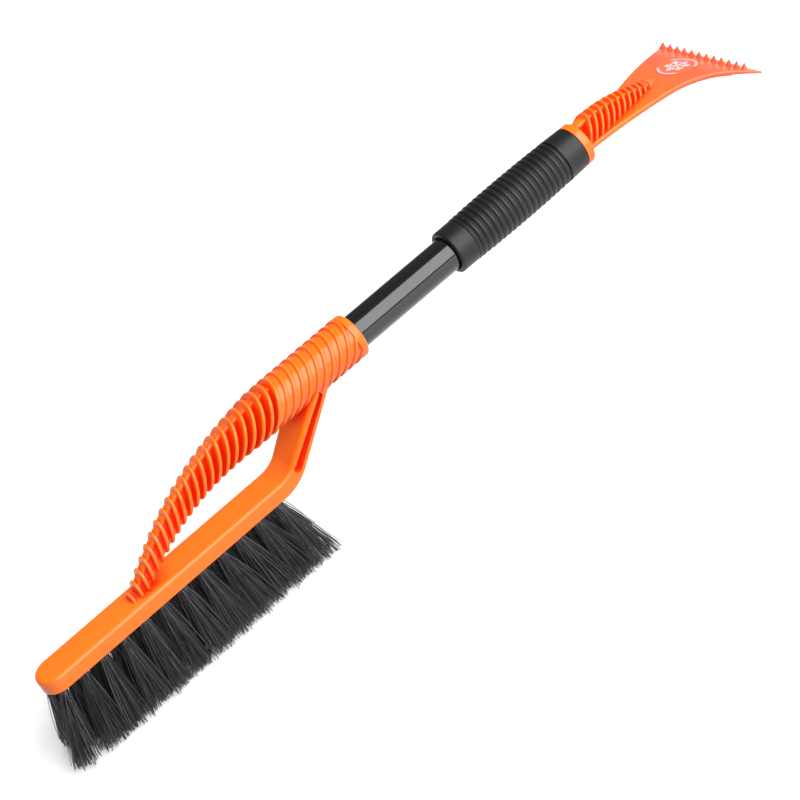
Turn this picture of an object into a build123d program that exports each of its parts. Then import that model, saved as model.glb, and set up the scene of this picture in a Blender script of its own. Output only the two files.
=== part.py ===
from build123d import *

import os
from math import asin, cos, radians, sin, sqrt, tan

# Snow brush with an ice scraper: a bristle block and ribbed handle moulded in one piece, a straight
# metal tube, a ribbed rubber grip and a ribbed scraper head with a flared, down-curved blade.
# +X runs along the tube towards the scraper, +Z is up and the bristles point down. The origin is on
# the ground under the middle of the tool. All lengths are in millimetres.

# ---- driving dimensions -------------------------------------------------------------------------
axis_z = 102.0  # height of the tube's axis above the bristle tips
sleeve_end = -12.95  # X where the bare tube leaves the handle's sleeve

tube_od = 22.0
tube_wall = 1.2
tube_bare = 78.1  # bare tube between the sleeve and the grip
tube_in_sleeve = 54.0
fit_gap = 0.05  # radial clearance of the tube in its sockets

sleeve_od = 29.2
sleeve_groove = 0.95  # depth of the grooves between the sleeve's ribs
sleeve_length = 80.0  # before its far end is cut at the ribs' lean
collar_length = 5.15
collar_round = 2.0
socket_depth = 56.0

disc_count = 20  # thin discs on the curved handle, after a first one that is mostly in the block
disc_pitch = 5.7  # at the handle's root
disc_pitch_growth = 0.023
disc_thickness = 2.2
disc_round = 0.95
sleeve_rib_start = -68.55  # middle of the sleeve's first rib, from the sleeve's end
sleeve_rib_count = 12
sleeve_rib_pitch = 6.03
sleeve_rib_width = 2.6
sleeve_rib_round = 1.0
rib_lean = 31.0  # degrees that a sleeve rib's top leans towards the scraper
first_lean = 5.5  # the same at the handle's root
lean_step = 1.6

root_half_y = 6.46  # half the handle's width and height where it leaves the block
root_half_z = 9.15
taper_start = 15.0  # from the first disc to where the handle starts to grow into the sleeve
taper_length = 96.0
bend_start = 65.8  # from the sleeve's end to where the handle starts to bend down
bend_span = 121.2
bend_drop = 38.0
bend_power = 2.54
root_distance = 191.05  # from the sleeve's end to the first disc
core_inset = 3.3  # depth of the handle's core below the disc rims
core_web = 4.0
core_bar = 3.4  # thickness of the rounded bars on the web's top and bottom
core_bar_half = 3.0
core_round = 1.2
core_overlap = 7.5  # how far the core runs on inside the sleeve

block_length = 188.0  # from the free end to where the strut's outer line meets the underside
block_width = 22.0
block_height = 10.6
block_drop = 51.6  # block's underside below the tube's axis
block_free_end = 266.8  # from the sleeve's end to the block's free end
end_round = 10.95  # rounded free end, seen from above
edge_round = 2.5
under_round = 0.8

strut_angle = 42.5
strut_outer_radius = 31.0
strut_inner_radius = 19.0
strut_sink = 7.0  # how far below the tube's axis the strut ends, inside the sleeve's wall
strut_flare = 13.6  # half the width of the strut's face plate at its top
strut_plate = 3.0
strut_plate_over = 2.0  # how much higher than the strut its face plate ends
pocket_width = 5.8
pocket_length = 44.0
pocket_along = 33.0  # pocket's middle, along the strut's outer line from its foot
pocket_across = 5.4
pocket_web = 5.0

tuft_columns = 12
outer_row_start = 9.0  # first tuft of an outer row, from the block's free end
outer_row_pitch = 14.6
middle_row_start = 4.5
middle_row_pitch = 14.35
tuft_row_gap = 6.4
tuft_root = 4.8
tuft_hole = 5.0
tuft_hole_depth = 8.0
tuft_seat = 6.6  # length of a tuft inside its hole
tuft_tip = 13.6
tuft_fan = 0.12  # spread of the tips along the row, as a part of the root's place
tuft_row_lean = 8.4  # sideways reach of an outer row's tips
staple_width = 4.6
staple_height = 1.2
staple_thickness = 0.5

grip_length = 107.9
grip_band = 13.25  # plain band at the mouth end
grip_band_radius = 14.55
grip_end_radius = 14.3
grip_crown = 1.25  # how much fuller the grip is at its middle
grip_rib_start = 16.35  # first full rib, after a narrow one
grip_rib_count = 18
grip_rib_pitch = 4.24
grip_rib_height = 1.1
grip_valley = 0.5
grip_lip = 1.4
grip_edge = 0.6
mouth_depth = 5.0
mouth_gap = 0.6
mouth_chamfer = 0.5

flange_radius = 14.3
flange_thickness = 5.7
flange_round = 1.2
spigot_length = 34.0
spigot_bore = 7.0
spigot_floor = 3.0
neck_length = 69.0
neck_half_width = 10.4
neck_end_half_width = 5.0
neck_height = 14.6
neck_taper_start = 15.0
neck_inset = 2.2  # depth of the neck's bar below the rib tops
neck_root = 2.0  # what the neck sinks into the blade
neck_web = 4.4
neck_bar = 3.2
neck_bar_half = 3.4
neck_rib_count = 12
neck_rib_start = 1.35
neck_rib_pitch = 5.3
neck_rib_thickness = 1.9
neck_rib_round = 0.8
neck_lean = 34.0
nose_start = 59.0  # smooth rounded end of the neck, from the flange's outer face
nose_length = 10.0
nose_radius = 5.0
nose_sink = 1.8

blade_flat = 60.5  # straight part of the blade, from the flange to the bend
blade_radius = 95.0
blade_reach = 113.5  # from the flange's outer face to the scraping edge
blade_stations = (-2.0, 32.5, 62.5, 92.0, 113.5)
blade_half_widths = (11.0, 14.3, 20.4, 30.5, 47.0)  # at those distances from the flange
blade_margin = 5.0  # what cuts the blade reaches this far past its widest place
blade_thickness = 3.6
blade_round = 1.2
edge_thickness = 1.2  # at the scraping edge, below a bevel
bevel_length = 14.0
bevel_clear = 0.2  # how far the bevel's cut stays under the blade where it starts
bevel_past = 1.0
keel_depth = 11.0
keel_thickness = 3.0
keel_overlap = 1.0
keel_middle = 0.4  # part of the neck's length, where the keel is three quarters as deep
tooth_count = 12
tooth_pitch = 6.73
tooth_base = 3.6
tooth_height = 4.2
tooth_taper = 21.0
tooth_root = 0.3  # what each tooth sinks into the blade
tooth_setback = 6.0  # tooth row's middle behind the scraping edge
label_length = 27.0
label_width = 25.0
label_thickness = 0.25
label_centre = 87.5  # from the flange's outer face

online = 0.02  # an edge this close to a line lies on it
long_edge = 5.0  # the blade's side edges are longer than this and further than this from its middle

# ---- places that follow from them ---------------------------------------------------------------
block_z = axis_z - block_drop
block_top = block_z + block_height
block_end = sleeve_end - block_free_end
root_x = sleeve_end - root_distance
bend_x = sleeve_end - bend_start
first_rib_x = sleeve_end + sleeve_rib_start
sleeve_radius = sleeve_od / 2
grip_start = sleeve_end + tube_bare
flange_x = grip_start + grip_length
neck_x = flange_x + flange_thickness
bend_at = neck_x + blade_flat
bore_radius = tube_od / 2 + fit_gap


def axis_plane(x):
    """Plane across the tube at x: its own X is the tool's Y and its normal is +X."""
    return Plane(origin=(x, 0, axis_z), x_dir=(0, 1, 0), z_dir=(1, 0, 0))


def leaning_plane(x, z, lean):
    """Plane through (x, z) that contains Y and leans its top towards the scraper."""
    a = radians(lean)
    return Plane(origin=(x, 0, z), x_dir=(0, 1, 0), z_dir=(cos(a), 0, -sin(a)))


def handle_share(x):
    """0 at the handle's root on the block, 1 where it has become the round sleeve."""
    return min(1.0, max(0.0, (x - root_x - taper_start) / taper_length))


def handle_z(x):
    return axis_z - bend_drop * (max(0.0, bend_x - x) / bend_span) ** bend_power


def handle_half_y(x):
    return root_half_y + (sleeve_radius - root_half_y) * handle_share(x) ** 2


def handle_half_z(x):
    return root_half_z + (sleeve_radius - root_half_z) * handle_share(x) ** 0.65


def core_top(x):
    return handle_z(x) + handle_half_z(x) - core_inset


def core_bottom(x):
    return handle_z(x) - handle_half_z(x) + core_inset


def neck_half_y(u):
    """Half the neck's width at a distance from the flange."""
    share = max(0.0, u - neck_taper_start) / (neck_length - neck_taper_start)
    return neck_half_width - (neck_half_width - neck_end_half_width) * share**1.2


def neck_half_z(u):
    return neck_height * (1.0 - (max(0.0, u) / neck_length) ** 1.75)


def neck_crest(u, below):
    """Side-view point below the top of the leaning rib that stands at a distance from the flange."""
    height = neck_half_z(u)
    return neck_x + u + height * tan(radians(neck_lean)), axis_z + height - below


def curve_points(height, start, stop, lift=0.0, count=7):
    """Evenly spaced side-view points of a height function."""
    step = (stop - start) / (count - 1)
    return [(start + step * k, height(start + step * k) + lift) for k in range(count)]


def is_long_edge(edge):
    """True for an edge that runs along a bar, not across it."""
    return edge.length > long_edge and abs((edge % 0.5).Y) < 0.5


def profile_rim(piece, line):
    """A profile's long edges on both sides of the piece, with the edges of its rounded end."""
    def on_rim(edge):
        middle = edge @ 0.5
        near = line.distance_to(Vector(middle.X, middle.Z, 0)) < online
        across = edge.length > 10 * online and abs((edge % 0.5).Y) > 0.9
        return near and not across and middle.Z < strut_top - online
    return piece.edges().filter_by(on_rim)


os.makedirs("parts", exist_ok=True)

# ---- brush head: block, strut, curved handle and sleeve in one moulding --------------------------
strut_rise = tan(radians(strut_angle))
strut_foot = block_end + block_length
strut_top = axis_z - strut_sink
outer_top = strut_foot + (strut_top - block_z) / strut_rise
strut_way = (cos(radians(strut_angle)), 0, sin(radians(strut_angle)))
inner_top = outer_top - block_height / strut_way[2]
inner_foot = inner_top - (strut_top - block_top) / strut_rise

outer_row = [block_end + outer_row_start + outer_row_pitch * k for k in range(tuft_columns)]
middle_row = [block_end + middle_row_start + middle_row_pitch * k for k in range(tuft_columns)]
tuft_rows = {"near": (outer_row, -1), "middle": (middle_row, 0), "far": (outer_row, 1)}
tuft_places = [(x, s * tuft_row_gap) for row, s in tuft_rows.values() for x in row]

with BuildPart() as block:
    with BuildSketch(Plane.XZ):
        with BuildLine():
            outer = FilletPolyline(
                (block_end, block_z), (strut_foot, block_z), (outer_top, strut_top),
                radius=strut_outer_radius,
            )
            inner = FilletPolyline(
                (inner_top, strut_top), (inner_foot, block_top), (block_end, block_top),
                radius=strut_inner_radius,
            )
            Line(outer @ 1, inner @ 0)
            Line(inner @ 1, outer @ 0)
        make_face()
    extrude(amount=block_width / 2, both=True)
    fillet(block.edges().filter_by(Axis.Z).group_by(Axis.X)[0], end_round)
    fillet(profile_rim(block, inner), edge_round)
    fillet(profile_rim(block, outer), under_round)
    for way in (-1, 1):
        pocket_floor = Plane(
            origin=(strut_foot, way * pocket_web / 2, block_z),
            x_dir=strut_way,
            z_dir=(0, -1, 0),
        )
        with BuildSketch(pocket_floor):
            with Locations((pocket_along, pocket_across)):
                SlotCenterToCenter(pocket_length, pocket_width)
        extrude(amount=-way * block_width, mode=Mode.SUBTRACT)

foot_run = strut_inner_radius * tan(radians(strut_angle / 2))  # curved part of the strut's inner foot
plate_length = (strut_top + strut_plate_over - block_top) / strut_way[2]
with BuildPart() as face_plate:
    hand_side = Plane(
        origin=(inner_foot, 0, block_top),
        x_dir=strut_way,
        z_dir=(-strut_way[2], 0, strut_way[0]),
    )
    with BuildSketch(hand_side):
        with BuildLine():
            Polyline(
                (foot_run, -block_width / 2), (plate_length, -strut_flare), (plate_length, strut_flare),
                (foot_run, block_width / 2), close=True,
            )
        make_face()
    extrude(amount=-strut_plate)
    face_edges = face_plate.faces().sort_by(Axis(hand_side.origin, hand_side.z_dir))[-1].edges()
    fillet(face_edges.filter_by(lambda e: abs((e % 0.5).Y) < 0.9), edge_round)

with BuildPart() as handle:
    for number in range(-1, disc_count):
        x = root_x + disc_pitch * number + disc_pitch_growth * number**2
        lean = min(rib_lean, first_lean + lean_step * number)
        height = handle_half_z(x) / cos(radians(lean))
        room = handle_z(x) - block_z - under_round  # from the disc's middle to the block's underside
        with BuildSketch(leaning_plane(x, handle_z(x), lean)):
            Ellipse(handle_half_y(x), height)
            if room < height:
                with Locations((0, -room)):
                    Rectangle(
                        block_width, 3 * height, align=(Align.CENTER, Align.MIN), mode=Mode.INTERSECT
                    )
        extrude(amount=disc_thickness / 2, both=True)
    fillet(handle.edges().filter_by(GeomType.LINE, reverse=True), disc_round)

with BuildPart() as core:
    bars = (
        (core_top, -core_round, core_bottom, core_round, core_web / 2, 0.0),
        (core_top, 0.0, core_top, -core_bar, core_bar_half, core_round),
        (core_bottom, core_bar, core_bottom, 0.0, core_bar_half, core_round),
    )
    for upper, upper_lift, under, under_lift, half, rounding in bars:
        with BuildSketch(Plane.XZ):
            with BuildLine():
                top = Spline(*curve_points(upper, root_x, bend_x + core_overlap, upper_lift))
                low = Spline(*curve_points(under, root_x, bend_x + core_overlap, under_lift))
                Line(top @ 0, low @ 0)
                Line(top @ 1, low @ 1)
            make_face()
        bar = extrude(amount=half, both=True, mode=Mode.PRIVATE)
        if rounding:
            bar = bar.fillet(rounding, bar.edges().filter_by(is_long_edge))
        add(bar)

with BuildPart() as sleeve:
    with BuildSketch(axis_plane(sleeve_end)):
        Circle(sleeve_radius)
    extrude(amount=-collar_length)
    fillet(sleeve.faces().sort_by(Axis.X)[-1].edges(), collar_round)
    with BuildSketch(axis_plane(sleeve_end - collar_length / 2)):
        Circle(sleeve_radius - sleeve_groove)
    extrude(amount=-sleeve_length)
    split(bisect_by=leaning_plane(first_rib_x, axis_z, rib_lean), keep=Keep.TOP)

with BuildPart() as sleeve_ribs:
    for number in range(sleeve_rib_count):
        with BuildSketch(leaning_plane(first_rib_x + sleeve_rib_pitch * number, axis_z, rib_lean)):
            Ellipse(sleeve_radius, sleeve_radius / cos(radians(rib_lean)))
        extrude(amount=sleeve_rib_width / 2, both=True)
    fillet(sleeve_ribs.edges(), sleeve_rib_round)
    split(bisect_by=axis_plane(sleeve_end - collar_length), keep=Keep.BOTTOM)

with BuildPart() as brush_head:
    add(sleeve.part)
    add(sleeve_ribs.part)
    add(core.part)
    add(handle.part)
    add(block.part)
    add(face_plate.part)
    with BuildSketch(axis_plane(sleeve_end)):
        Circle(bore_radius)
    extrude(amount=-socket_depth, mode=Mode.SUBTRACT)
    with BuildSketch(Plane.XY.offset(block_z)):
        with Locations(*tuft_places):
            Circle(tuft_hole / 2)
    extrude(amount=tuft_hole_depth, mode=Mode.SUBTRACT)
brush_head.part.label = "brush_head"
export_step(brush_head.part, "parts/brush_head.step")

# ---- bristle tufts, each held in its hole by a flat wire staple ----------------------------------
row_middle = (outer_row[0] + outer_row[-1]) / 2
for row, (places, way) in tuft_rows.items():
    for number, x in enumerate(places, start=1):
        y = way * tuft_row_gap
        tip = (x + tuft_fan * (x - row_middle), y + way * tuft_row_lean)
        with BuildPart() as tuft:
            with BuildSketch(Plane(origin=(x, y, block_z))):
                Circle(tuft_root / 2)
            extrude(amount=tuft_seat)
            with BuildSketch(Plane(origin=(x, y, block_z))):
                Circle(tuft_root / 2)
            with BuildSketch(Plane(origin=(*tip, 0))):
                Circle(tuft_tip / 2)
            loft()
        name = f"tuft_{row}_{number:02d}"
        tuft.part.label = name
        export_step(tuft.part, f"parts/{name}.step")

with BuildPart() as tuft_staples:
    with BuildSketch(Plane.XY.offset(block_z + tuft_seat)):
        with Locations(*tuft_places):
            Rectangle(staple_thickness, staple_width)
    extrude(amount=staple_height)
tuft_staples.part.label = "tuft_staples"
export_step(tuft_staples.part, "parts/tuft_staples.step")

# ---- tube -----------------------------------------------------------------------------------------
with BuildPart() as tube:
    with BuildSketch(axis_plane(sleeve_end - tube_in_sleeve)):
        Circle(tube_od / 2)
        Circle(tube_od / 2 - tube_wall, mode=Mode.SUBTRACT)
    extrude(amount=tube_in_sleeve + tube_bare + grip_length)
tube.part.label = "tube"
export_step(tube.part, "parts/tube.step")

# ---- rubber grip: a plain band at each end of a barrel of rounded ribs ---------------------------
rib_starts = [grip_band] + [grip_rib_start + grip_rib_pitch * k for k in range(grip_rib_count + 1)]


def grip_radius(along):
    """Radius of the grip's ribs at a distance from its mouth, fullest at the middle."""
    return grip_end_radius + grip_crown * (1.0 - (2.0 * along / grip_length - 1.0) ** 2)


def valley(along):
    """Profile point on the floor between two ribs."""
    return along, grip_radius(along) - grip_rib_height


with BuildPart() as grip:
    with BuildSketch(Plane(origin=(grip_start, 0, axis_z), x_dir=(1, 0, 0), z_dir=(0, -1, 0))):
        with BuildLine():
            mouth = Polyline(
                (mouth_depth, bore_radius), (mouth_chamfer, bore_radius + mouth_gap),
                (0, bore_radius + mouth_gap + mouth_chamfer), (0, grip_band_radius - grip_lip),
            )
            CenterArc((grip_lip, grip_band_radius - grip_lip), grip_lip, 90, 90)
            Polyline((grip_lip, grip_band_radius), (grip_band, grip_band_radius), valley(grip_band))
            for start, after in zip(rib_starts, rib_starts[1:]):
                stop = after - grip_valley
                crest = (start + stop) / 2
                floor_end = (stop, valley(after)[1])
                ThreePointArc(valley(start), (crest, grip_radius(crest)), floor_end)
                Line(floor_end, valley(after))
            Polyline(
                valley(rib_starts[-1]), (rib_starts[-1], grip_radius(rib_starts[-1])),
                (grip_length - grip_edge, grip_radius(grip_length)),
                (grip_length, grip_radius(grip_length) - grip_edge),
                (grip_length, bore_radius), mouth @ 0,
            )
        make_face()
    revolve(axis=Axis((0, 0, axis_z), (1, 0, 0)))
grip.part.label = "grip"
export_step(grip.part, "parts/grip.step")

# ---- scraper head: flange, spigot, ribbed neck and flared blade with its ice teeth ----------------
blade_edge = neck_x + blade_reach
edge_run = blade_edge - bend_at
edge_z = axis_z - blade_radius + sqrt(blade_radius**2 - edge_run**2)
edge_slope = edge_run / blade_radius  # sine of the blade's slope at its edge
edge_cos = sqrt(1.0 - edge_slope**2)
blade_outline = [(neck_x + x, -half) for x, half in zip(blade_stations, blade_half_widths)]

with BuildPart() as blade:
    with BuildSketch(Plane.XZ):
        with BuildLine():
            flat = Line((neck_x + blade_stations[0], axis_z), (bend_at, axis_z))
            top = RadiusArc(flat @ 1, (blade_edge, edge_z), blade_radius)
            front = Line(
                top @ 1,
                (blade_edge - blade_thickness * edge_slope, edge_z - blade_thickness * edge_cos),
            )
            under_start = (bend_at, axis_z - blade_thickness)
            under = RadiusArc(under_start, front @ 1, blade_radius - blade_thickness)
            back = Polyline(
                under_start, (neck_x + blade_stations[0], axis_z - blade_thickness), flat @ 0
            )
        make_face()
    extrude(amount=blade_half_widths[-1] + blade_margin, both=True)
    with BuildSketch():
        with BuildLine():
            near = Spline(*blade_outline)
            far = mirror(near, about=Plane.XZ)
            Line(near @ 0, far @ 0)
            Line(near @ 1, far @ 1)
        make_face()
    extrude(amount=2 * axis_z, mode=Mode.INTERSECT)
    side_edges = blade.edges().filter_by(
        lambda e: abs((e % 0.5).Y) < 0.9 and e.length > long_edge and abs((e @ 0.5).Y) > long_edge
    )
    fillet(side_edges, blade_round)
    bevel_plane = Plane(
        origin=(blade_edge, 0, edge_z), x_dir=(edge_cos, 0, -edge_slope), z_dir=(0, -1, 0)
    )
    with BuildSketch(bevel_plane):
        with BuildLine():
            Polyline(
                (bevel_past, -edge_thickness), (0, -edge_thickness),
                (-bevel_length, -blade_thickness - bevel_clear),
                (-bevel_length, -3 * blade_thickness), (bevel_past, -3 * blade_thickness), close=True,
            )
        make_face()
    extrude(amount=blade_half_widths[-1] + blade_margin, both=True, mode=Mode.SUBTRACT)

neck_floor = Plane.XY.offset(axis_z - neck_root)

with BuildPart() as neck_ribs:
    for number in range(neck_rib_count):
        u = neck_rib_start + neck_rib_pitch * number
        with BuildSketch(leaning_plane(neck_x + u, axis_z, neck_lean)):
            Ellipse(neck_half_y(u), neck_half_z(u) / cos(radians(neck_lean)))
            with Locations((0, -neck_root)):
                Rectangle(
                    2 * neck_half_width, 2 * neck_height,
                    align=(Align.CENTER, Align.MIN), mode=Mode.INTERSECT,
                )
        extrude(amount=neck_rib_thickness / 2, both=True)
    fillet(neck_ribs.edges().filter_by(GeomType.LINE, reverse=True), neck_rib_round)

with BuildPart() as neck_core:
    places = [neck_length * share for share in (-0.16, 0.0, 0.2, 0.4, 0.6, 0.8, 0.93)]
    for half, deep in ((neck_web / 2, neck_height), (neck_bar_half, neck_bar)):
        with BuildSketch(Plane.XZ):
            with BuildLine():
                crest_line = Spline(*[neck_crest(u, neck_inset) for u in places])
                under_line = Spline(*[neck_crest(u, neck_inset + deep) for u in places])
                Line(crest_line @ 0, under_line @ 0)
                Line(crest_line @ 1, under_line @ 1)
            make_face()
        bar = extrude(amount=half, both=True, mode=Mode.PRIVATE)
        if half == neck_bar_half:
            bar = bar.fillet(core_round, bar.edges().filter_by(is_long_edge))
        add(bar)
    split(bisect_by=neck_floor, keep=Keep.TOP)

nose_at = (neck_x + nose_start, 0, axis_z - nose_sink)
nose_side = Plane(origin=nose_at, x_dir=(1, 0, 0), z_dir=(0, -1, 0))
with BuildPart() as nose:
    with BuildSketch(nose_side):
        with BuildLine():
            dome = EllipticalCenterArc((0, 0), nose_length, nose_radius, start_angle=0, arc_size=90)
            Polyline(dome @ 1, (0, 0), dome @ 0)
        make_face()
    revolve(axis=Axis(nose_at, (1, 0, 0)))
    split(bisect_by=neck_floor, keep=Keep.TOP)

with BuildPart() as flange:
    with BuildSketch(axis_plane(flange_x)):
        Circle(flange_radius)
    extrude(amount=flange_thickness)
    fillet(flange.faces().sort_by(Axis.X)[-1].edges(), flange_round)
    with BuildSketch(axis_plane(flange_x)):
        Circle(tube_od / 2 - tube_wall - fit_gap)
    extrude(amount=-spigot_length)
    with BuildSketch(axis_plane(flange_x - spigot_length)):
        Circle(spigot_bore)
    extrude(amount=spigot_length - spigot_floor, mode=Mode.SUBTRACT)

with BuildPart() as keel:
    with BuildSketch(Plane.XZ):
        with BuildLine():
            keel_line = Spline(
                (flange_x + keel_overlap, axis_z - keel_depth),
                (neck_x + keel_middle * neck_length, axis_z - 0.75 * keel_depth),
                (neck_x + neck_length, axis_z - blade_thickness + keel_overlap / 2),
            )
            Polyline(
                keel_line @ 1, (neck_x + neck_length, axis_z - keel_overlap),
                (flange_x + keel_overlap, axis_z - keel_overlap), keel_line @ 0,
            )
        make_face()
    extrude(amount=keel_thickness / 2, both=True)

tooth_x = blade_edge - tooth_setback
tooth_angle = asin((tooth_x - bend_at) / blade_radius)
tooth_plane = Plane(
    origin=(tooth_x, 0, axis_z - blade_radius * (1.0 - cos(tooth_angle))),
    x_dir=(0, 1, 0),
    z_dir=(sin(tooth_angle), 0, cos(tooth_angle)),
)
with BuildPart() as teeth:
    with BuildSketch(tooth_plane.offset(-tooth_root)):
        with GridLocations(tooth_pitch, 0, tooth_count, 1):
            Rectangle(tooth_base, tooth_base)
    extrude(amount=tooth_height + tooth_root, taper=tooth_taper)

with BuildPart() as scraper_head:
    add(flange.part)
    add(blade.part)
    add(keel.part)
    add(neck_core.part)
    add(neck_ribs.part)
    add(nose.part)
    add(teeth.part)
scraper_head.part.label = "scraper_head"
export_step(scraper_head.part, "parts/scraper_head.step")

# ---- printed oval on the blade, following its curve -----------------------------------------------
with BuildPart() as oval_label:
    with BuildSketch(Plane.XZ):
        with BuildLine():
            skin = RadiusArc((bend_at, axis_z), (blade_edge, edge_z), blade_radius)
            outer_radius = blade_radius + label_thickness
            face = RadiusArc(
                (bend_at, axis_z + label_thickness),
                (blade_edge, axis_z - blade_radius + sqrt(outer_radius**2 - edge_run**2)),
                outer_radius,
            )
            Line(skin @ 0, face @ 0)
            Line(skin @ 1, face @ 1)
        make_face()
    extrude(amount=label_width, both=True)
    with BuildSketch():
        with Locations((neck_x + label_centre, 0)):
            Ellipse(label_length / 2, label_width / 2)
    extrude(amount=2 * axis_z, mode=Mode.INTERSECT)
oval_label.part.label = "oval_label"
export_step(oval_label.part, "parts/oval_label.step")
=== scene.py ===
import math
import random

import bpy
import numpy as np
from mathutils import Matrix, Vector


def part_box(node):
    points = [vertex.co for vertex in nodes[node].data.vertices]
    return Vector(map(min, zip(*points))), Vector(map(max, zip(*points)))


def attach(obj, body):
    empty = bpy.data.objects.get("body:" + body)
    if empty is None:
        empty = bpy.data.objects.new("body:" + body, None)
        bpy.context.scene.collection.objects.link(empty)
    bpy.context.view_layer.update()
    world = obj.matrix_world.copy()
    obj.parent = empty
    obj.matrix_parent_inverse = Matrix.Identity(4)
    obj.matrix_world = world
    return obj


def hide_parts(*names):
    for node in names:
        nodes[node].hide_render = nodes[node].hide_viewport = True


# Snow brush with an ice scraper. The CAD nodes keep their shapes and get their materials here. Each
# plain tuft solid is replaced by its bundle of filaments, and thin prints are laid on the plain oval.

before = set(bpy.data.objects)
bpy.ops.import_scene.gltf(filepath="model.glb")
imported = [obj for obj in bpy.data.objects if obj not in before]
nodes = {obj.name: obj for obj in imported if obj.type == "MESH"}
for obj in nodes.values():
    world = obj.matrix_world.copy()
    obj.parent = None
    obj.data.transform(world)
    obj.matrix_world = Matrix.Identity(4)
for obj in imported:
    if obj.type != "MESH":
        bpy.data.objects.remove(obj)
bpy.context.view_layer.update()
MM = 0.001

# ---- view, lights and floor -----------------------------------------------------------------------
VIEW_AZIMUTH = -22.24
VIEW_ELEVATION = 35.82
VIEW_ROLL = -27.56
VIEW_DISTANCE = 1.2172
VIEW_TARGET = (-0.0171, -0.0270, 0.0630)
VIEW_LENS = 93.18
KEY_WATTS = 106.0
FILL_WATTS = 38.0
WORLD_STRENGTH = 0.2
FLOOR_HALF = 6.0

RECESS_SHADE_REACH = 9.0 * MM  # how far the painted shade in the orange looks for what closes it in
VALLEY_SHADE_REACH = 3.0 * MM  # the same for the painted shade in the shallow valleys between ribs
REFLECTION_START = 78.0 * MM  # from the blade's edge to where the painted reflection starts to pale its colour
REFLECTION_STOP = 30.0 * MM

# ---- bristles -------------------------------------------------------------------------------------
BRUSH_LENGTH = 180.0 * MM  # from the block's free end to the last tuft
STRANDS = 120  # filaments in a tuft
STRAY_SHARE = 0.12  # part of them that strays further than the rest
STRAND_RADIUS = 0.26 * MM
STRAND_RINGS = 7
STRAND_SIDES = 4
ROOT_DEPTH = 5.0 * MM  # filaments start this far below the top of the tuft solid
ROOT_SPREAD = 2.7 * MM
ROOT_FAN = 1.6  # how far a filament's place in the bundle is spread at the tips
TIP_SPREAD = 8.0 * MM  # along the brush, so the tips of neighbouring tufts mix
STRAY_SPREAD = 10.5 * MM
SWAY, STRAY_SWAY = 0.7 * MM, 1.6 * MM  # how far a filament is bowed
END_FLARE = 7.0 * MM  # how far the first near tuft leans out past the block's end
END_LIFT = 0.6  # how much higher such a tip ends, as a part of how far it leans
SIDE_SPREAD = 2.6 * MM
TIP_RAGGED = 1.6 * MM
TIP_LIFT = 1.0 * MM
LEFT_SPLAY, RIGHT_SPLAY = 0.8, 1.15  # how the spread along the brush changes from end to end

# ---- label ----------------------------------------------------------------------------------------
RING_OUTER, RING_INNER = 0.97, 0.84  # parts of the oval's half length and half width
ARM_REACH = 0.66
BARBS = ((0.45, 0.24), (0.7, 0.17))  # where each pair leaves its arm, and its length
OUTLINE_WIDTH = 1.7 * MM
ARM_WIDTH = 0.75 * MM
PRINT_DEPTH = 0.1 * MM
PRINT_LIFT = 0.06 * MM


def direction(azimuth, elevation):
    """Unit vector from the object to a camera or light. Azimuth 0 is -Y and 90 is +X."""
    a, e = math.radians(azimuth), math.radians(elevation)
    return Vector((math.sin(a) * math.cos(e), -math.cos(a) * math.cos(e), math.sin(e)))


def facing(azimuth, elevation, roll=0.0):
    """Rotation of a camera or light that looks at the object from that side."""
    back = direction(azimuth, elevation)
    a, r = math.radians(azimuth), math.radians(roll)
    level = Vector((math.cos(a), math.sin(a), 0.0))
    upright = back.cross(level)
    right = level * math.cos(r) + upright * math.sin(r)
    up = back.cross(right)
    return Matrix((right, up, back)).transposed().to_4x4()


def add_camera():
    data = bpy.data.cameras.new("camera")
    data.lens = VIEW_LENS
    data.sensor_width = 36.0
    data.clip_start = 0.02
    data.clip_end = 50.0
    camera = bpy.data.objects.new("camera", data)
    place = Vector(VIEW_TARGET) + VIEW_DISTANCE * direction(VIEW_AZIMUTH, VIEW_ELEVATION)
    camera.matrix_world = Matrix.Translation(place) @ facing(
        VIEW_AZIMUTH, VIEW_ELEVATION, VIEW_ROLL
    )
    bpy.context.scene.collection.objects.link(camera)
    bpy.context.scene.camera = camera


def add_light(name, azimuth, elevation, distance, size, watts, mirrored=True):
    data = bpy.data.lights.new(name, "AREA")
    data.shape = "RECTANGLE"
    data.size, data.size_y = size
    data.energy = watts
    light = bpy.data.objects.new(name, data)
    place = Vector(VIEW_TARGET) + distance * direction(azimuth, elevation)
    light.matrix_world = Matrix.Translation(place) @ facing(azimuth, elevation)
    light.visible_camera = False
    light.visible_glossy = mirrored
    bpy.context.scene.collection.objects.link(light)


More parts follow.
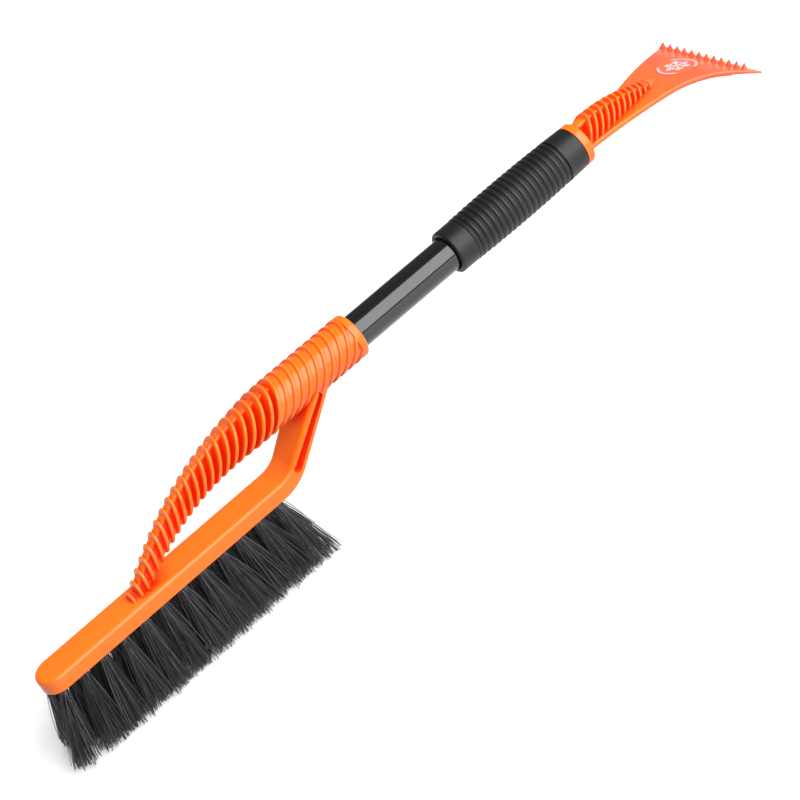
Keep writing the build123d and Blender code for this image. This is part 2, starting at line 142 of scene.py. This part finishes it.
# ---- material helpers -------------------------------------------------------------------------------
class Shader:
    """A new node material with its Principled shader, and short ways to add what feeds it."""

    def __init__(self, name, **settings):
        self.material = bpy.data.materials.new(name)
        self.material.use_nodes = True
        self.tree = self.material.node_tree
        self.surface = self.tree.nodes["Principled BSDF"]
        for socket, value in settings.items():
            self.surface.inputs[socket.replace("_", " ")].default_value = value
        self.place = self.add("ShaderNodeTexCoord").outputs["Object"]

    def add(self, kind, **values):
        node = self.tree.nodes.new(kind)
        for key, value in values.items():
            if hasattr(node, key):
                setattr(node, key, value)
            else:
                node.inputs[key.replace("_", " ")].default_value = value
        return node

    def link(self, output, node, socket):
        self.tree.links.new(output, node.inputs[socket])

    def noise(self, scale, detail=3.0, stretch=None, **values):
        """Noise in the object's own metres, stretched along an axis if asked."""
        node = self.add("ShaderNodeTexNoise", Scale=scale, Detail=detail, **values)
        source = self.place
        if stretch:
            mapping = self.add("ShaderNodeMapping", Scale=stretch)
            self.link(source, mapping, "Vector")
            source = mapping.outputs["Vector"]
        self.link(source, node, "Vector")
        return node.outputs["Fac"]

    def ramp(self, source, low, high, start=0.3, stop=0.7):
        """Colours low to high as source goes from start to stop."""
        node = self.add("ShaderNodeValToRGB")
        first, last = node.color_ramp.elements
        first.position, first.color = start, (*low, 1.0)
        last.position, last.color = stop, (*high, 1.0)
        self.link(source, node, "Fac")
        return node.outputs["Color"]

    def spread(self, source, low, high):
        """A number from low to high as source goes from 0 to 1."""
        node = self.add("ShaderNodeMapRange", To_Min=low, To_Max=high)
        self.link(source, node, "Value")
        return node.outputs["Result"]

    def paint_reflection_along(self, colour, reflection_colour, start, stop):
        """A colour that changes to another between two places along the tool, here a painted reflection
        on the blade.
        """
        parts = self.add("ShaderNodeSeparateXYZ")
        self.link(self.place, parts, "Vector")
        share = self.add("ShaderNodeMapRange", From_Min=start, From_Max=stop)
        self.link(parts.outputs["X"], share, "Value")
        mix = self.add("ShaderNodeMixRGB")
        self.link(share.outputs["Result"], mix, "Fac")
        self.link(colour, mix, "Color1")
        mix.inputs["Color2"].default_value = (*reflection_colour, 1.0)
        return mix.outputs["Color"]

    def shade_in_recesses(self, colour, painted_shade_colour, reach, closed, clear):
        """Painted shade: a colour that deepens to a darker one as the open share of its surroundings
        falls from clear to closed.
        """
        gap = self.add("ShaderNodeAmbientOcclusion", Distance=reach)
        gap.samples = 8
        share = self.add("ShaderNodeMapRange", From_Min=closed, From_Max=clear)
        self.link(gap.outputs["AO"], share, "Value")
        mix = self.add("ShaderNodeMixRGB")
        self.link(share.outputs["Result"], mix, "Fac")
        self.link(colour, mix, "Color2")
        mix.inputs["Color1"].default_value = (*painted_shade_colour, 1.0)
        return mix.outputs["Color"]

    def bump(self, height, depth, strength=1.0, under=None):
        node = self.add("ShaderNodeBump", Strength=strength, Distance=depth)
        self.link(height, node, "Height")
        if under:
            self.link(under, node, "Normal")
        return node.outputs["Normal"]

    def feed(self, output, socket):
        self.link(output, self.surface, socket)


def orange_plastic():
    """Glossy moulded polypropylene: slight flow marks and a fine skin, a painted reflection that pales
    the blade towards its edge, and painted shade in recesses and between ribs.
    """
    s = Shader("orange_plastic", Roughness=0.25, IOR=1.48)
    s.surface.subsurface_method = "RANDOM_WALK"
    s.surface.inputs["Subsurface Weight"].default_value = 0.2
    s.surface.inputs["Subsurface Radius"].default_value = (1.0, 0.2, 0.04)
    s.surface.inputs["Subsurface Scale"].default_value = 1.5 * MM
    flow = s.noise(16.0, 2.0, stretch=(0.35, 1.0, 1.0))
    body = s.ramp(flow, (0.93, 0.150, 0.004), (0.96, 0.172, 0.006))
    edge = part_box("scraper_head")[1][0]
    # painted reflection: the blade's colour pales towards its edge
    body = s.paint_reflection_along(body, (0.96, 0.116, 0.042), edge - REFLECTION_START, edge - REFLECTION_STOP)
    # painted shade: the orange deepens in the shallow valleys between ribs, and to red in the gaps and
    # recesses
    body = s.shade_in_recesses(body, (0.93, 0.075, 0.004), VALLEY_SHADE_REACH, 0.6, 0.97)
    s.feed(s.shade_in_recesses(body, (0.88, 0.030, 0.003), RECESS_SHADE_REACH, 0.3, 0.85), "Base Color")
    s.feed(s.spread(s.noise(90.0, 3.0), 0.2, 0.27), "Roughness")
    waves = s.bump(s.noise(40.0, 1.0), 0.04 * MM, 0.3)
    s.feed(s.bump(s.noise(1500.0, 2.0), 0.012 * MM, 0.4, under=waves), "Normal")
    return s.material


def black_tube():
    """Gloss black lacquer drawn along the tube, with fine lengthwise marks."""
    s = Shader("black_tube", Metallic=0.0, Roughness=0.12, IOR=1.62)
    marks = s.noise(420.0, 4.0, stretch=(0.03, 1.0, 1.0))
    s.feed(s.ramp(marks, (0.003, 0.003, 0.0035), (0.007, 0.007, 0.008)), "Base Color")
    s.feed(s.spread(marks, 0.08, 0.17), "Roughness")
    s.feed(s.bump(s.noise(260.0, 2.0), 0.01 * MM, 0.4), "Normal")
    return s.material


def black_rubber():
    """Moulded rubber with a fine satin grain, a little greyer where it has been rubbed."""
    s = Shader("black_rubber", Roughness=0.45, IOR=1.4)
    patch = s.noise(45.0, 4.0)
    s.feed(s.ramp(patch, (0.005, 0.005, 0.0055), (0.010, 0.010, 0.011)), "Base Color")
    s.feed(s.spread(s.noise(300.0, 3.0), 0.38, 0.5), "Roughness")
    s.feed(s.bump(s.noise(2200.0, 3.0), 0.04 * MM, 0.4), "Normal")
    return s.material


def black_bristle():
    """Extruded filament, each a slightly different black, with streaks along its length."""
    s = Shader("black_bristle", Roughness=0.32, IOR=1.5)
    shade = s.add("ShaderNodeAttribute", attribute_name="shade").outputs["Fac"]
    s.feed(s.ramp(shade, (0.004, 0.004, 0.005), (0.085, 0.083, 0.09), 0.0, 1.0), "Base Color")
    s.feed(s.spread(s.noise(700.0, 2.0, stretch=(1.0, 1.0, 0.1)), 0.22, 0.42), "Roughness")
    return s.material


def printed_ink(name, low, high):
    """Pad-printed ink: a thin film with a slightly uneven edge-to-edge coverage."""
    s = Shader(name, Roughness=0.4, IOR=1.45)
    s.feed(s.ramp(s.noise(800.0, 3.0), low, high), "Base Color")
    s.feed(s.spread(s.noise(500.0, 2.0), 0.34, 0.46), "Roughness")
    s.feed(s.bump(s.noise(1800.0, 2.0), 0.01 * MM, 0.4), "Normal")
    return s.material


def staple_wire():
    s = Shader("staple_wire", Metallic=1.0, Roughness=0.35)
    drawn = s.noise(1500.0, 2.0, stretch=(1.0, 0.05, 1.0))
    s.feed(s.ramp(drawn, (0.45, 0.45, 0.46), (0.7, 0.7, 0.7)), "Base Color")
    return s.material


# ---- filaments ----------------------------------------------------------------------------------------
def tuft_ends(node):
    """Centres of a tuft solid's root and tip faces."""
    points = np.array([v.co for v in nodes[node].data.vertices])
    top, bottom = points[:, 2].max(), points[:, 2].min()
    root = points[points[:, 2] > top - 0.1 * MM].mean(0)
    tip = points[points[:, 2] < bottom + 0.1 * MM].mean(0)
    return root, tip


def disc_point(rng, radius):
    angle = rng.uniform(0.0, 2.0 * math.pi)
    reach = radius * math.sqrt(rng.random())
    return np.array((reach * math.cos(angle), reach * math.sin(angle), 0.0))


def strand_line(rng, start, end, sway):
    """Points of one filament, which fans out early and is bowed a little further down."""
    steps = np.linspace(0.0, 1.0, STRAND_RINGS)[:, None]
    knee = start + np.array((0.0, 0.0, (end[2] - start[2]) * rng.uniform(0.25, 0.4)))
    knee[:2] += (end[:2] - start[:2]) * rng.uniform(0.35, 0.6)
    bow = disc_point(rng, sway)
    return (1 - steps) ** 2 * start + 2 * steps * (1 - steps) * (knee + bow) + steps**2 * end


def tube_rings(line, radius):
    """Vertices of the rings of a thin tapered tube along the points of a line."""
    tangents = np.gradient(line, axis=0)
    tangents /= np.linalg.norm(tangents, axis=1)[:, None]
    side = np.cross(tangents, (0.0, 1.0, 0.0))
    side /= np.linalg.norm(side, axis=1)[:, None]
    other = np.cross(tangents, side)
    turns = np.arange(STRAND_SIDES) * 2.0 * math.pi / STRAND_SIDES
    taper = np.linspace(1.0, 0.8, len(line))[:, None, None] * radius
    rings = line[:, None, :] + taper * (
        np.cos(turns)[None, :, None] * side[:, None, :]
        + np.sin(turns)[None, :, None] * other[:, None, :]
    )
    return rings.reshape(-1, 3)


def tube_faces():
    """Faces that join a filament's rings, and its two end caps."""
    n = STRAND_SIDES
    faces = []
    for ring in range(STRAND_RINGS - 1):
        for k in range(n):
            a, b = ring * n + k, ring * n + (k + 1) % n
            faces.append((a, b, b + n, a + n))
    faces.append(tuple(range(n - 1, -1, -1)))
    faces.append(tuple((STRAND_RINGS - 1) * n + k for k in range(n)))
    return faces


def add_piece(name, vertices, faces, material):
    mesh = bpy.data.meshes.new(name)
    mesh.from_pydata(vertices, [], faces)
    mesh.materials.append(material)
    piece = bpy.data.objects.new(name, mesh)
    bpy.context.scene.collection.objects.link(piece)
    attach(piece, "root")
    return piece


def add_bristles(node, material, seed):
    """The bundle of filaments that stands for one CAD tuft."""
    rng = random.Random(seed)
    root, tip = tuft_ends(node)
    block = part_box("brush_head")
    share = (root[0] - block[0][0]) / BRUSH_LENGTH
    splay = LEFT_SPLAY + (RIGHT_SPLAY - LEFT_SPLAY) * share
    left_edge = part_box("tuft_near_01")[0][0]
    flare = END_FLARE if node == "tuft_near_01" else 0.0
    base = root - np.array((0.0, 0.0, ROOT_DEPTH))
    vertices, faces, shades = [], [], []
    pattern = tube_faces()
    for number in range(STRANDS):
        stray = rng.random() < STRAY_SHARE
        inner = disc_point(rng, ROOT_SPREAD)
        reach = (STRAY_SPREAD if stray else TIP_SPREAD) * splay
        end = tip + inner * ROOT_FAN
        end[0] += reach * rng.uniform(-1.0, 1.0)
        past = max(left_edge - end[0], 0.0)  # such a tip is turned back inside the tuft
        end[0] += past * rng.uniform(1.0, 1.8)
        lean = flare * rng.random()
        end[0] -= lean
        end[1] += SIDE_SPREAD * rng.uniform(-1.0, 1.0)
        end[2] = abs(rng.gauss(0.0, 1.0)) * TIP_RAGGED + TIP_LIFT + lean * END_LIFT
        line = strand_line(rng, base + inner, end, STRAY_SWAY if stray else SWAY)
        offset = number * STRAND_RINGS * STRAND_SIDES
        vertices.append(tube_rings(line, STRAND_RADIUS * rng.uniform(0.85, 1.1)))
        faces.extend(tuple(offset + i for i in face) for face in pattern)
        shades.append(np.full(STRAND_RINGS * STRAND_SIDES, rng.random() ** 2))
    name = node.replace("tuft", "bristles")
    piece = add_piece(name, np.concatenate(vertices).tolist(), faces, material)
    shade = piece.data.attributes.new("shade", "FLOAT", "POINT")
    shade.data.foreach_set("value", np.concatenate(shades).astype(np.float32))
    piece.data.shade_smooth()
    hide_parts(node)


# ---- label --------------------------------------------------------------------------------------------
def label_surface():
    """Middle and half sizes of the oval, and its top face's height as a polynomial of x."""
    low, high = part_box("oval_label")
    points = np.array([v.co for v in nodes["oval_label"].data.vertices])
    xs = np.round(points[:, 0], 5)
    tops = [(x, points[xs == x, 2].max()) for x in np.unique(xs)]
    curve = np.polyfit([x for x, z in tops], [z for x, z in tops], 3)
    middle = ((low[0] + high[0]) / 2, (low[1] + high[1]) / 2)
    half = ((high[0] - low[0]) / 2, (high[1] - low[1]) / 2)
    return middle, half, curve


def print_strips(name, strips, width, lift, material):
    """Thin closed strips of ink bent to the blade, along lines in parts of the oval's half sizes."""
    middle, half, curve = label_surface()
    vertices, faces = [], []
    for line in strips:
        line = np.array(line) * half + middle
        paint_reflection_along = np.gradient(line, axis=0)
        paint_reflection_along /= np.linalg.norm(paint_reflection_along, axis=1)[:, None]
        side = np.stack((-paint_reflection_along[:, 1], paint_reflection_along[:, 0]), axis=1) * width / 2
        first = len(vertices)
        for point, offset in zip(line, side):
            for x, y in (point - offset, point + offset):
                top = np.polyval(curve, x) + lift
                vertices.extend(((x, y, top - PRINT_DEPTH), (x, y, top)))
        for k in range(first, len(vertices) - 4, 4):
            for a, b in ((0, 1), (1, 3), (3, 2), (2, 0)):
                faces.append((k + a, k + 4 + a, k + 4 + b, k + b))
        last = len(vertices) - 4
        faces.append((first, first + 1, first + 3, first + 2))
        faces.append((last, last + 2, last + 3, last + 1))
    return add_piece(name, vertices, faces, material)


def snowflake_lines():
    """Six arms, each with two pairs of barbs."""
    lines = []
    for number in range(6):
        turn = number * math.pi / 3
        way = np.array((math.cos(turn), math.sin(turn)))
        lines.append([way * step * ARM_REACH for step in np.linspace(0.08, 1.0, 12)])
        for root, reach in BARBS:
            for bend in (-1, 1):
                barb = turn + bend * math.pi / 3
                out = np.array((math.cos(barb), math.sin(barb)))
                start = way * root * ARM_REACH
                lines.append([start + out * reach * step for step in np.linspace(0.0, 1.0, 5)])
    return lines


def add_label():
    pale_ink = printed_ink("label_ink_pale", (0.85, 0.36, 0.42), (0.92, 0.43, 0.50))
    dark_ink = printed_ink("label_ink_dark", (0.055, 0.012, 0.018), (0.085, 0.020, 0.028))
    white_ink = printed_ink("label_ink_white", (0.62, 0.58, 0.68), (0.74, 0.70, 0.80))
    turns = np.linspace(0.0, 2.0 * math.pi, 97)
    reach = (RING_OUTER + RING_INNER) / 2
    ring = [(reach * math.cos(t), reach * math.sin(t)) for t in turns]
    half = label_surface()[1]
    print_strips("label_ring", [ring], (RING_OUTER - RING_INNER) * half[1], PRINT_LIFT, pale_ink)
    print_strips("snowflake_outline", snowflake_lines(), OUTLINE_WIDTH, PRINT_LIFT, dark_ink)
    print_strips("snowflake", snowflake_lines(), ARM_WIDTH, 2 * PRINT_LIFT, white_ink)


def paint(node, material):
    mesh = nodes[node].data
    mesh.materials.clear()
    mesh.materials.append(material)


def add_floor():
    s = Shader("floor", Roughness=0.9)
    s.feed(s.ramp(s.noise(3.0), (0.90, 0.90, 0.90), (0.94, 0.94, 0.94)), "Base Color")
    corners = [(x * FLOOR_HALF, y * FLOOR_HALF, 0) for x, y in ((-1, -1), (1, -1), (1, 1), (-1, 1))]
    mesh = bpy.data.meshes.new("floor")
    mesh.from_pydata(corners, [], [(0, 1, 2, 3)])
    mesh.materials.append(s.material)
    floor = bpy.data.objects.new("floor", mesh)
    bpy.context.scene.collection.objects.link(floor)
    floor.visible_diffuse = False  # its bounce would make the object's lower sides too light


def add_world():
    world = bpy.data.worlds.new("studio")
    world.use_nodes = True
    background = world.node_tree.nodes["Background"]
    background.inputs["Color"].default_value = (0.93, 0.94, 1.0, 1.0)
    background.inputs["Strength"].default_value = WORLD_STRENGTH
    bpy.context.scene.world = world


# ---- the object ---------------------------------------------------------------------------------------
add_camera()
orange = orange_plastic()
paint("brush_head", orange)
paint("scraper_head", orange)
paint("tube", black_tube())
paint("grip", black_rubber())
paint("tuft_staples", staple_wire())
paint("oval_label", printed_ink("label_ground", (0.93, 0.115, 0.035), (0.95, 0.14, 0.05)))
add_label()
bristle = black_bristle()
tufts = sorted(node for node in nodes if node.startswith("tuft_") and node != "tuft_staples")
for number, node in enumerate(tufts):
    add_bristles(node, bristle, seed=number)

# ---- studio -------------------------------------------------------------------------------------------
add_floor()
add_light("key", azimuth=22.0, elevation=38.0, distance=1.9, size=(3.0, 2.3), watts=KEY_WATTS)
add_light(
    "fill", azimuth=178.0, elevation=50.0, distance=2.2, size=(3.0, 3.0), watts=FILL_WATTS, mirrored=False
)
add_world()
bpy.context.scene.view_settings.view_transform = "Standard"
